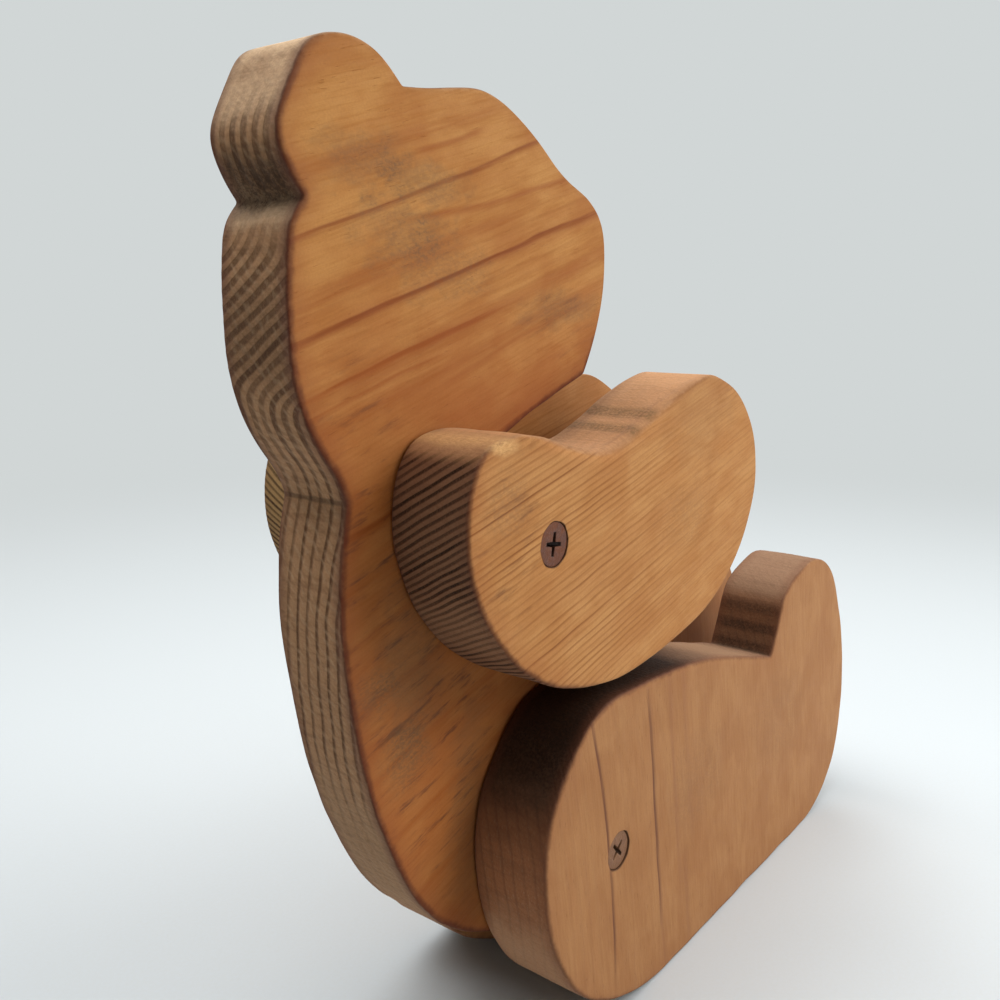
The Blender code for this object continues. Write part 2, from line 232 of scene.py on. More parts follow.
def newPiece(name, points, triangles, quads, attributes, material, body, nodeName):
    # Put arrays into a mesh, in metres, and hang it on its body
    mesh = bpy.data.meshes.new(name)
    mesh.from_pydata((points * mm).tolist(), [], triangles.tolist() + quads.tolist())
    mesh.validate()
    for key, values in attributes.items():
        kind, field = ("FLOAT_VECTOR", "vector") if values.ndim == 2 else ("FLOAT", "value")
        layer = mesh.attributes.new(key, kind, "POINT")
        layer.data.foreach_set(field, values.astype(np.float32).ravel())
    mesh.materials.append(material)
    mesh.shade_smooth()
    mesh.set_sharp_from_angle(angle=math.radians(40))
    piece = bpy.data.objects.new(name, mesh)
    scene.collection.objects.link(piece)
    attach(piece, body)
    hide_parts(nodeName)
    print(name, "triangles", len(triangles) + 2 * len(quads))


# Boards

boardLook = {
    "outlineStep": 0.5,      # mm between points along a rim
    "rimStep": 0.55,         # mm between points across a rim
    "roundSteps": 6,         # points round an eased edge
    "faceStep": 1.7,         # mm between points of a face
    "holeSteps": 96,         # points round a screw hole
    "soften": 0.35,          # mm, how sharp the outline's corners stay
    "unevenEase": 0.22,      # share by which an eased edge swells and shrinks
    "wander": 0.05,          # rings, how far a growth ring strays
    "rimSag": 0.10,          # mm, how uneven a rim is
    "faceSag": 0.06,         # mm, how uneven an outer face is
    "dirtReach": 9.0,        # mm, past which the gap to an edge no longer counts
    "grainShift": 400.0,     # mm along the grain between two boards' figures
    "seeds": {"outerEdge": 0, "innerEdge": 5, "wander": 40, "sag": 60, "face": 80},
}


def bodyRings(u, v, o):
    # The grain rises 17 degrees forward. Behind the head the rings lie tilted, 2.6 mm apart;
    # over the ear, and from the neck down, they bend until they run along the rim, 3 mm apart
    across = v * math.cos(0.30) - u * math.sin(0.30)
    bend = 1.2 * (np.logaddexp(0, (across - 45.0) / 1.2) - np.logaddexp(0, (across - 72.0) / 1.2))
    tilt = 0.33 - 0.12 * easeBetween(42.0, 50.0, across) * (1 - easeBetween(68.0, 78.0, across))
    return 0.03 * across + 0.34 * bend - tilt * o + 0.35 * np.sin(across / 19.0)


def armRings(u, v, o):
    # Nearly flat rings, rising forwards and outwards, their widths varying slowly
    height = v - 0.245 * u - 0.0006 * u * v - 0.60 * o
    return height / 1.75 + 0.4 * np.sin(height / 7.0)


def legRings(u, v, o):
    # Upright rings leaning back as they rise
    across = u + 0.18 * v + 0.0012 * v * v
    return (across + 1.15 * o) / 3.6 + 0.5 * np.sin(across / 11.0)


# Measures in mm: thickness, the board's middle from the bear's, the inner and outer eased edges,
# and how far the hard lines stand up from the rim. The grain is an angle
boards = {
    "body": {
        "runs": bodyRuns, "thick": 19.0, "middle": 0.0, "pivot": shoulder, "ease": (0.75, 0.75),
        "ridge": 0.07, "seed": 11, "rings": bodyRings, "grain": 0.30,
    },
    "arm": {
        "runs": armRuns, "thick": 20.3, "middle": 19.95, "pivot": shoulder, "ease": (0.8, 1.0),
        "ridge": 0.08, "seed": 23, "rings": armRings, "grain": 0.245,
        # The upper outer edge is worn round where the arm dips
        "dip": {"from": (-12.0, 8.0), "to": (38.0, 62.0), "above": 5.0, "worn": 2.2},
    },
    "leg": {
        "runs": legRuns, "thick": 21.0, "middle": 20.3, "pivot": hip, "ease": (0.8, 1.0),
        "ridge": 0.05, "seed": 37, "rings": legRings, "grain": 1.75,
        "directions": [(level, None), (None, level), (None, None)], "lowest": sole,
    },
}


def ridgeShape(phase):
    # Worn end grain: the hard line of each ring stands up, the soft wood sinks between
    part = phase - np.floor(phase)
    return easeBetween(0.30, 0.85, part) * (1 - easeBetween(0.90, 1.0, part)) - 0.4


def boardPiece(node, kind, side, holes, material, body=None, tilt=0.0, shift=0.0):
    # A board: its rim is an eased profile carried round the outline, a quarter circle at each
    # face and flat between, and its faces fill the two inner edges of that profile. A point is
    # u along and v up from the pivot, and o outwards from the board's middle
    board = boards[kind]
    half = board["thick"] / 2
    loop = evenLoop(board["runs"], board.get("directions", [(None, None)] * len(board["runs"])))
    normals = loopNormals(loop)
    count = len(loop)
    seeds = {key: board["seed"] + side + step for key, step in boardLook["seeds"].items()}
    flat = np.column_stack([loop, np.zeros(count)])
    easeInner, easeOuter = (
        size * (1 + boardLook["unevenEase"] * ripple(flat, seeds[key], 17.0))
        for size, key in zip(board["ease"], ("innerEdge", "outerEdge")))
    if "dip" in board:
        dip = board["dip"]
        inDip = easeBetween(*dip["from"], loop[:, 0]) * (1 - easeBetween(*dip["to"], loop[:, 0]))
        easeOuter += dip["worn"] * inDip * (loop[:, 1] > dip["above"])

    # Stations of the profile, down the outer ease, over the flat and down the inner ease
    down = np.linspace(0, np.pi / 2, boardLook["roundSteps"])[:, None]
    up = down[::-1]
    between = np.linspace(0, 1, int(board["thick"] / boardLook["rimStep"]))[1:-1, None]
    flatAt = (half - easeOuter) * (1 - between) + (easeInner - half) * between
    inset = np.vstack([easeOuter * (1 - np.sin(down)), 0 * flatAt, easeInner * (1 - np.sin(up))])
    at = np.vstack([half - easeOuter * (1 - np.cos(down)), flatAt, easeInner * (1 - np.cos(up)) - half])
    gap = np.vstack([
        (np.pi / 4 - down) * easeOuter,
        -np.minimum(half - easeOuter - np.abs(flatAt), boardLook["dirtReach"]) - 0.6,
        (np.pi / 4 - up) * easeInner])
    onRim = np.sin(np.vstack([down, np.pi / 2 + 0 * between, up])) ** 2 * np.ones(count)
    shape = at.shape
    place = loop - normals * inset[:, :, None]
    phase = board["rings"](place[..., 0], place[..., 1], at + shift)
    endShare = np.abs(turned(*normals.T, board["grain"])[0]) ** 2
    every = np.column_stack([place.reshape(-1, 2), at.ravel()])
    phase = phase + boardLook["wander"] * ripple(every, seeds["wander"], 12.0).reshape(shape)
    sag = boardLook["rimSag"] * ripple(every, seeds["sag"], 16.0, 14).reshape(shape)
    raised = (board["ridge"] * ridgeShape(phase) * endShare + sag) * onRim
    place = place + normals * raised[:, :, None]
    place[..., 1] = np.maximum(place[..., 1], board.get("lowest", -np.inf))
    rimPoints = np.column_stack([place.reshape(-1, 2), at.ravel()])

    # Points are kept with what the material reads on them
    kept = {key: [] for key in ("place", "rings", "rim", "edgeGap", "endGrain", "bore")}

    def keep(places, rim, edgeGap, endGrain, bore, wander=0.0, rings=None):
        first = sum(len(part) for part in kept["place"])
        if rings is None:
            rings = board["rings"](places[:, 0], places[:, 1], places[:, 2] + shift) + wander
        kept["place"].append(places)
        for key, values in (("rings", rings), ("rim", rim), ("edgeGap", edgeGap),
                            ("endGrain", endGrain), ("bore", bore)):
            kept[key].append(np.broadcast_to(values, len(places)))
        return first + np.arange(len(places))

    keep(rimPoints, onRim.ravel(), gap.ravel(), np.tile(endShare, len(at)), 0.0, rings=phase.ravel())
    quads = [gridQuads(0, *shape)]
    triangles = []

    # Holes are profiles of (radius, height, chewed, dirty) carried round each screw line, and a
    # blind one ends in a fan of triangles
    steps = boardLook["holeSteps"]
    around = np.arange(steps) * 2 * np.pi / steps
    circle = np.column_stack([np.cos(around), np.sin(around)])
    openings = {"outer": [], "inner": []}
    for hole in holes:
        radius, height, chewed, dirty = (row[:, None] for row in np.array(hole["profile"], float).T)
        radius = radius * (1 + hole["chew"] * ripple(circle * 3, 5, 2.5) * chewed)
        across = hole["at"] + radius[:, :, None] * circle
        wall = np.column_stack([across.reshape(-1, 2), np.repeat(height, steps)])
        dirt = np.repeat(dirty, steps)
        ids = keep(wall, dirt, 4.0, 0.5, dirt).reshape(radius.shape)
        quads.append(gridQuads(ids[0, 0], *ids.shape)[:, ::-1])
        for key, row in (("outer", 0), ("inner", -1)):
            if hole["opens"] in (key, "both"):
                openings[key].append((ids[row], across[row]))
        if hole["opens"] != "both":
            blind = -1 if hole["opens"] == "outer" else 0
            middle = keep(np.array([[*hole["at"], height[blind, 0]]]), 1.0, 4.0, 0.5, 1.0)
            ends = [np.roll(ids[blind], -1), ids[blind]][::1 if blind else -1]
            triangles.append(np.column_stack([*ends, np.full(steps, middle[0])]))

    for facing, row, opened in ((1, 0, "outer"), (-1, len(at) - 1, "inner")):
        rowIds = row * count + np.arange(count)
        edge = rimPoints[rowIds, :2]
        rings = [ring for ids, ring in openings[opened]]
        lattice, faces = fillFace(edge, rings, boardLook["faceStep"])
        toEdge = gapToLoop(lattice, edge)
        spots = np.column_stack([lattice, np.full(len(lattice), facing * half)])
        if facing > 0:
            quiet = easeBetween(0.5, 6.0, toEdge)
            for ring in rings:
                quiet *= easeBetween(0.5, 4.0, gapToLoop(lattice, ring))
            spots[:, 2] += boardLook["faceSag"] * quiet * ripple(lattice, seeds["face"], 24.0)
        inner = keep(spots, 0.0, np.minimum(toEdge, boardLook["dirtReach"]) + 0.6, 0.0, 0.0,
                     boardLook["wander"] * ripple(spots, seeds["wander"], 12.0))
        ids = np.concatenate([rowIds] + [ids for ids, ring in openings[opened]] + [inner])
        triangles.append(ids[faces][:, ::-facing])

    local = np.vstack(kept.pop("place"))
    attributes = {key: np.concatenate(values) for key, values in kept.items()}
    u, v, o = local.T
    attributes["boardPlace"] = local
    along, across = turned(u, v, board["grain"])
    attributes["grainPlace"] = np.column_stack([along + boardLook["grainShift"] * shift, across, o])
    u, v = turned(u, v, tilt)
    world = np.column_stack([board["pivot"][0] + u, -side * (board["middle"] + o), board["pivot"][1] + v])
    triangles, quads = (np.vstack(faces)[:, ::-side] for faces in (triangles, quads))
    newPiece(node + "_board", world, triangles, quads, attributes, material, body or node,
             node)


# Holes for the screws, in mm, and the slope of the seat from the axis in degrees

holeLook = {"bore": 4.97, "clearance": 2.7, "seat": 41.0, "seatBelow": 0.65, "pilotDeep": 6.1}


def limbHole(kind, sunk):
    # Counterbore, countersunk seat and clearance hole right through the limb
    bore, clearance = holeLook["bore"], holeLook["clearance"]
    half = boards[kind]["thick"] / 2
    top = half - sunk - holeLook["seatBelow"]
    end = top - (bore - clearance) / math.tan(math.radians(holeLook["seat"]))
    return {"at": (0.0, 0.0), "opens": "both", "chew": 0.016, "profile": [
        (bore + 0.35, half, 1, 0), (bore + 0.12, half - 0.06, 1, 0.5), (bore + 0.02, half - 0.25, 1, 1),
        (bore, (half + top) / 2, 1, 1), (bore, top, 0.5, 1), ((bore + clearance) / 2, (top + end) / 2, 0, 1),
        (clearance, end, 0, 1), (clearance, end - 4, 0, 1), (clearance, 0.3 - half, 0, 1),
        (clearance + 0.25, -half, 0, 0.5)]}


def pilotHole(at, facing):
    # A blind hole in the body: a short tube with a shallow cone at its end
    clearance = holeLook["clearance"]
    half = boards["body"]["thick"] / 2
    end = half - holeLook["pilotDeep"]
    rows = [(clearance + 0.2, half, 0, 0), (clearance, half - 0.3, 0, 1), (clearance, end, 0, 1),
            (1.2, end - 0.3, 0, 1)]
    if facing < 0:
        rows = [(radius, -height, chewed, dirty) for radius, height, chewed, dirty in rows[::-1]]
    return {"at": at, "opens": "outer" if facing > 0 else "inner", "chew": 0.0, "profile": rows}


# Screws, in mm, and the head's cone in degrees

screwLook = {
    "headRadius": 4.85, "rimHigh": 0.35, "edge": 0.16, "coneAngle": 82.0, "shankRadius": 2.4,
    "coreRadius": 1.66, "pitch": 1.95, "threadShare": 0.6, "threadStep": 0.15, "threadRun": 1.4,
    "ridgeHalf": 0.30, "pointLong": 4.0, "pointLeast": 0.04, "around": 144, "tip": 3.7,
    "wingHalf": 0.56, "wingTaper": 0.14, "wingReach": 2.65, "recessDeep": 2.3, "worn": 0.05,
}


def screwPiece(node, side, place, headTop, turn, material, clear=1.0):
    # One closed surface: radius and depth along a profile from the head's middle to the point,
    # carried round the axis. The recess deepens the head inside a cross of two tapered bars,
    # and the thread adds a ridge wherever depth / pitch plus the share of a turn is near a half.
    # Dirt fills one bar of the recess up to the share that clear leaves
    look = screwLook
    long = headTop - look["tip"]
    rim, shank, edge, reach = look["headRadius"], look["shankRadius"], look["edge"], look["wingReach"]
    coneEnd = look["rimHigh"] + (rim - shank) / math.tan(math.radians(look["coneAngle"] / 2))
    top = np.concatenate([[0.0], np.linspace(0.12, 3.3, 40), np.linspace(3.4, rim - edge, 9)])
    bend = np.linspace(0, np.pi / 2, 6)[1:]
    threadFrom = long - long * look["threadShare"]
    downTo = np.concatenate([
        np.linspace(coneEnd + 0.3, threadFrom, 6),
        np.arange(threadFrom + look["threadStep"], long - 0.06, look["threadStep"]), [long - 0.02, long]])
    radius = np.concatenate([top, rim - edge + edge * np.sin(bend), [rim],
                             np.linspace(rim, shank, 12)[1:], np.full(len(downTo), shank)])
    depth = np.concatenate([0 * top, edge - edge * np.cos(bend), [look["rimHigh"]],
                            np.linspace(look["rimHigh"], coneEnd, 12)[1:], downTo])
    angle = np.arange(look["around"]) * 2 * np.pi / look["around"]
    r, a = np.meshgrid(radius, angle, indexing="ij")
    deep = np.repeat(depth[:, None], look["around"], axis=1)

    # Recess
    x, z = r * np.cos(a - turn), r * np.sin(a - turn)
    bars = [
        np.minimum(look["wingHalf"] - look["wingTaper"] * np.abs(along) / reach - np.abs(across),
                   reach - np.abs(along)) for along, across in ((x, z), (z, x))]
    inside = np.maximum(*bars)
    floorDepth = look["recessDeep"] * (1 - 0.80 * np.clip(r / reach, 0, 1) ** 1.3)
    onTop = (np.arange(len(radius)) < len(top))[:, None]
    worn = look["worn"] * easeBetween(-0.5, 0.1, inside)
    filled = np.where(easeBetween(-0.02, 0.1, bars[0]) > 0.5, clear, 1.0)
    filled[r < look["wingHalf"]] = 1.0
    deep = deep + onTop * (easeBetween(-0.02, 0.14, inside) * floorDepth * filled + worn)

    # Thread and point
    share = easeBetween(threadFrom, threadFrom + look["threadRun"], deep) * (deep > threadFrom)
    ridgeAt = np.abs((deep / look["pitch"] + side * a / (2 * np.pi)) % 1.0 - 0.5)
    ridge = np.clip(1 - ridgeAt / look["ridgeHalf"], 0, 1)
    threaded = look["coreRadius"] + (shank - look["coreRadius"]) * ridge
    taper = np.clip((long - deep) / look["pointLong"], 0, 1) ** 0.75
    taper = look["pointLeast"] + (1 - look["pointLeast"]) * taper
    r = np.where(share > 0, (1 - share) * shank + share * threaded * taper, r)
    r[-1] = 0.0
    world = np.stack([place[0] + r * np.cos(a), -side * (headTop - deep), place[1] + r * np.sin(a)], axis=-1)
    rows = len(radius)
    points = np.vstack([world[0, :1], world[1:-1].reshape(-1, 3), world[-1, :1]])
    quads = gridQuads(1, rows - 2, look["around"])
    first = 1 + np.arange(look["around"])
    last = first + (rows - 3) * look["around"]
    caps = np.vstack([
        np.column_stack([0 * first, np.roll(first, -1), first]),
        np.column_stack([0 * last + len(points) - 1, last, np.roll(last, -1)])])
    sunk = (onTop * (inside > 0) * filled)[1:-1].ravel()
    newPiece(node.replace("_screw", "_wood_screw"), points, caps[:, ::-side], quads[:, ::-side],
             {"recess": np.concatenate([[1.0], sunk, [0.0]])}, material, "torso", node)


# Camera: its place in metres, how far it looks down and is turned in degrees, its lens in mm

cameraLook = {"place": (-0.2348, -0.1466, 0.1831), "down": 11.33, "turned": 38.167, "focal": 35.636}
camera = bpy.data.objects.new("camera", bpy.data.cameras.new("camera"))
scene.collection.objects.link(camera)
camera.location = cameraLook["place"]
camera.rotation_euler = Euler(np.radians([90 - cameraLook["down"], 0, cameraLook["turned"] - 90]))
camera.data.lens = cameraLook["focal"]
camera.data.sensor_width = 36.0
camera.data.clip_start = 0.01
scene.camera = camera
scene.view_settings.view_transform = "Standard"
print("camera placed")


# Shader helpers

class Value:
    # What a node puts out. Sums and products of it add Math nodes to its tree, and rise and
    # fall add smooth steps
    def __init__(self, socket):
        self.socket = socket
        self.tree = socket.id_data

    def math(self, operation, *others):
        return Value(addNode(self.tree, "ShaderNodeMath", (self, *others), operation=operation).outputs[0])

    def rise(self, low, high, start=0.0, end=1.0):
        return Value(addNode(self.tree, "ShaderNodeMapRange", (self, low, high, start, end),
                             interpolation_type="SMOOTHSTEP").outputs[0])

    def fall(self, low, high, end=0.0):
        return self.rise(low, high, 1.0, end)

    def swing(self, size):
        # From -size / 2 to size / 2
        return (self - 0.5) * size

    def __add__(self, other):
        return self.math("ADD", other)

    def __sub__(self, other):
        return self.math("SUBTRACT", other)

    def __mul__(self, other):
        return self.math("MULTIPLY", other)

    def __truediv__(self, other):
        return self.math("DIVIDE", other)

    def __rsub__(self, other):
        return self.math("MULTIPLY_ADD", -1.0, other)


def addNode(tree, kind, inputs=(), **settings):
    # A node with its settings, its inputs given in order or by name as numbers or Values
    node = tree.nodes.new(kind)
    for key, value in settings.items():
        setattr(node, key, value)
    for key, value in inputs.items() if isinstance(inputs, dict) else enumerate(inputs):
        if isinstance(value, Value):
            tree.links.new(value.socket, node.inputs[key])
        else:
            node.inputs[key].default_value = value
    return node


def noise(place, stretch, detail, roughness=0.5, distortion=0.0):
    # Noise on a place that is first scaled along each axis
    scaled = Value(addNode(place.tree, "ShaderNodeMapping", {"Vector": place, "Scale": stretch}).outputs[0])
    return Value(addNode(place.tree, "ShaderNodeTexNoise", {
        "Vector": scaled, "Scale": 1.0, "Detail": detail, "Roughness": roughness,
        "Distortion": distortion}).outputs[0])


def split(vector):
    return [Value(part) for part in addNode(vector.tree, "ShaderNodeSeparateXYZ", [vector]).outputs]


def mix(share, under, over):
    # The second tone over the first, each a Value or a screen colour
    tones = [tone if isinstance(tone, Value) else linearColour(tone) for tone in (under, over)]
    return Value(addNode(share.tree, "ShaderNodeMix", {0: share, 6: tones[0], 7: tones[1]},
                         data_type="RGBA").outputs[2])


def layer(under, mask, depthAndTone):
    # A tone laid over where the mask is, at this depth
    depth, tone = depthAndTone
    return mix(mask * depth, under, tone)


def attribute(tree, name, output="Fac"):
    return Value(addNode(tree, "ShaderNodeAttribute", attribute_name=name).outputs[output])


def nodeGroup(**inputs):
    # Turns the function below into a group of its name, once: the function takes the inputs,
    # each with its number here, or None for a vector, and returns the outputs by name
    def build(work):
        tree = bpy.data.node_groups.new(work.__name__, "ShaderNodeTree")
        for label, value in inputs.items():
            kind = "NodeSocketVector" if value is None else "NodeSocketFloat"
            socket = tree.interface.new_socket(label, in_out="INPUT", socket_type=kind)
            if value is not None:
                socket.default_value = value
        given = tree.nodes.new("NodeGroupInput").outputs
        outputs = work(*(Value(socket) for socket in given[:len(inputs)]))
        for label in outputs:
            tree.interface.new_socket(label, in_out="OUTPUT", socket_type="NodeSocketFloat")
        addNode(tree, "NodeGroupOutput", outputs)
        return tree
    return build


def useGroup(tree, group, **values):
    node = addNode(tree, "ShaderNodeGroup", values, node_tree=group)
    return {socket.name: Value(socket) for socket in node.outputs}


def startMaterial(name):
    material = bpy.data.materials.new(name)
    material.use_nodes = True
    return material, material.node_tree, material.node_tree.nodes["Principled BSDF"]


def finishSurface(surface, colour, rough, height):
    # Colour, roughness, and relief in millimetres
    tree = colour.tree
    bump = addNode(tree, "ShaderNodeBump", {"Strength": 1.0, "Distance": mm, "Height": height})
    for label, value in (("Base Color", colour), ("Roughness", rough), ("Normal", Value(bump.outputs[0]))):
        tree.links.new(value.socket, surface.inputs[label])


@nodeGroup(Phase=0.0, Place=None, Wander=0.3, Rise=0.35, Vary=0.5, From=0.46, To=0.88)
def growthRings(phase, place, wander, rise, vary, low, high):
    # Line: in every whole step of Phase it climbs slowly from Rise, peaks, and drops sharply,
    # its strength picked by the ring's number. Rib climbs from From, holds up to To and drops,
    # for the dark bands of a rim
    phase = phase + noise(place, (0.008, 0.045, 0.045), 3.0).swing(wander)
    part = phase.math("FRACT")
    pick = Value(addNode(phase.tree, "ShaderNodeTexWhiteNoise", {"W": phase.math("FLOOR")},
                         noise_dimensions="1D").outputs["Value"])
    line = part.rise(rise, 0.86) * part.fall(0.90, 1.0) * (1.0 - vary * pick)
    rib = part.rise(low, low + 0.26) * part.fall(high, high + 0.12) * (1.0 - pick * 0.4)
    return {"Line": line, "Rib": rib}


@nodeGroup(Place=None, Pores=0.62)
def woodFibre(place, pores):
    # Noise drawn out along the grain: broad streaks, fine streaks, short pores, and even mottling
    return {"Broad": noise(place, (0.012, 0.16, 0.16), 4.0, 0.6),
            "Fine": noise(place, (0.09, 1.5, 1.5), 4.0, 0.65, 0.3),
            "Pore": noise(place, (0.30, 2.6, 2.6), 2.0).rise(pores, pores + 0.10),
            "Mottle": noise(place, (0.05, 0.09, 0.09), 3.0, 0.55, 0.4)}


@nodeGroup(Place=None, X=0.0, Y=0.0, Slope=0.0, Bend=0.0, Reach=40.0, Soft=1.5, Sharp=0.4, Strength=1.0)
def placedLine(place, atX, atY, slope, bend, reach, soft, sharp, strength):
    # A dark line along the grain: a bent centre line, soft below it and sharp above, that
    # wavers with noise and fades out at both ends
    x, y, z = split(place)
    along = x - atX
    middle = along.math("MULTIPLY_ADD", slope, along * along * bend)
    offset = y - atY - middle + noise(place, (0.035, 0.02, 0.10), 3.0, 0.45).swing(2.0)
    line = offset.rise(soft * -1.0, 0.0) * offset.fall(0.0, sharp)
    line = line * along.math("ABSOLUTE").fall(reach * 0.55, reach)
    broken = noise(place, (0.05, 1.3, 1.3), 3.0, 0.6).rise(0.25, 0.60, 0.55, 1.0)
    return {"Line": line * broken * strength}


@nodeGroup(Place=None, X=0.0, Y=0.0, Long=20.0, High=15.0, Strength=1.0, Grain=1.0, Ragged=1.3)
def smudge(place, atX, atY, long, high, strength, grain, ragged):
    # An oval that fades outwards, broken up by coarse noise and fine speckle: dirt and wear, and painted
    # shade and highlights
    x, y, z = split(place)
    across, up = (x - atX) / long, (y - atY) / high
    gap = (across * across + up * up).math("SQRT")
    coarse = noise(place, (0.13, 0.20, 0.15), 4.0, 0.6, 0.3)
    speckle = noise(place, (0.9, 1.5, 1.5), 3.0, 0.7)
    fade = (gap + coarse.swing(ragged)).fall(0.35, 1.1)
    grit = (speckle + coarse.swing(0.4)).rise(0.36, 0.62)
    return {"Mask": fade * (grit * grain + (1.0 - grain)) * strength}


@nodeGroup(Gap=5.0, Place=None, Width=1.0)
def boardEdge(gap, place, width):
    # Dark: a line of soot and dirt just inside the edge of a face. Rub: the eased edge itself,
    # rubbed in places
    uneven = noise(place, (0.35, 0.35, 0.35), 3.0, 0.6)
    strayed = gap + uneven.swing(1.6)
    return {"Dark": (strayed / width).fall(0.1, 1.5) * strayed.rise(-0.75, -0.1),
            "Rub": gap.math("ABSOLUTE").fall(0.15, 0.8) * uneven.rise(0.45, 0.62)}


@nodeGroup(Place=None)
def sawnRim(place):
    # Marks of the saw: noise drawn out across the thickness, once square and once slanted.
    # Hatch is ridges where (y + z) / 3.1 passes a half, Fuzz a fine ragged noise drawn out a
    # little, and Grit an even sandy speckle
    x, y, z = split(place)
    leaning = (x + z * 0.35, y + z * 0.55, z * 0.04)
    slant = Value(addNode(place.tree, "ShaderNodeCombineXYZ", leaning).outputs[0])
    marks = noise(place, (0.75, 0.75, 0.05), 3.0, 0.6) * 0.6 + noise(slant, (1.3, 1.3, 1.3), 2.0) * 0.4
    steps = (y + z) / 3.1 + noise(place, (0.10, 0.10, 0.16), 3.0, 0.6) * 2.2
    near = (steps.math("FRACT") - 0.5).math("ABSOLUTE")
    gaps = noise(place, (0.3, 0.3, 0.5), 2.0).rise(0.35, 0.60)
    return {"Marks": marks, "Fuzz": noise(place, (1.4, 0.9, 2.6), 3.0, 0.7),
            "Hatch": near.fall(0.02, 0.34) * gaps, "Grit": noise(place, (1.9, 1.9, 1.9), 3.0, 0.7)}


def together(masks, most):
    # The sum of masks, up to a limit
    return sum(masks[1:], masks[0]).math("MINIMUM", most)


def smudges(place, rows, most):
    # The sum of smudges, each row its x, y, length, height, strength, grain and raggedness
    inputs = ("X", "Y", "Long", "High", "Strength", "Grain", "Ragged")
    return together([useGroup(place.tree, smudge, Place=place, **dict(zip(inputs, row)))["Mask"]
                     for row in rows], most)


def smudged(under, place, spots, most):
    # Smudges of one tone over a surface, if there are any
    return mix(smudges(place, spots[1], most), under, spots[0]) if spots else under


def lineIn(grain, row):
    # A placed line fitted to points of the outline's frame, after its softness on both sides
    # and its strength
    soft, sharp, strength, *points = row
    x, y = turned(*np.reshape(points, (-1, 2)).T, grain)
    bend, slope, height = np.polyfit(x - x.mean(), y, 2).tolist()
    return {"X": float(x.mean()), "Y": height, "Slope": slope, "Bend": bend,
            "Reach": float(np.ptp(x)) * 0.85, "Soft": soft, "Sharp": sharp, "Strength": strength}


def lined(face, grainPlace, angle, tone, rows):
    # The face with a set of placed lines drawn on it
    lines = [useGroup(face.tree, placedLine, Place=grainPlace, **lineIn(angle, row))["Line"] for row in rows]
    return mix(together(lines, 1.0), face, tone)


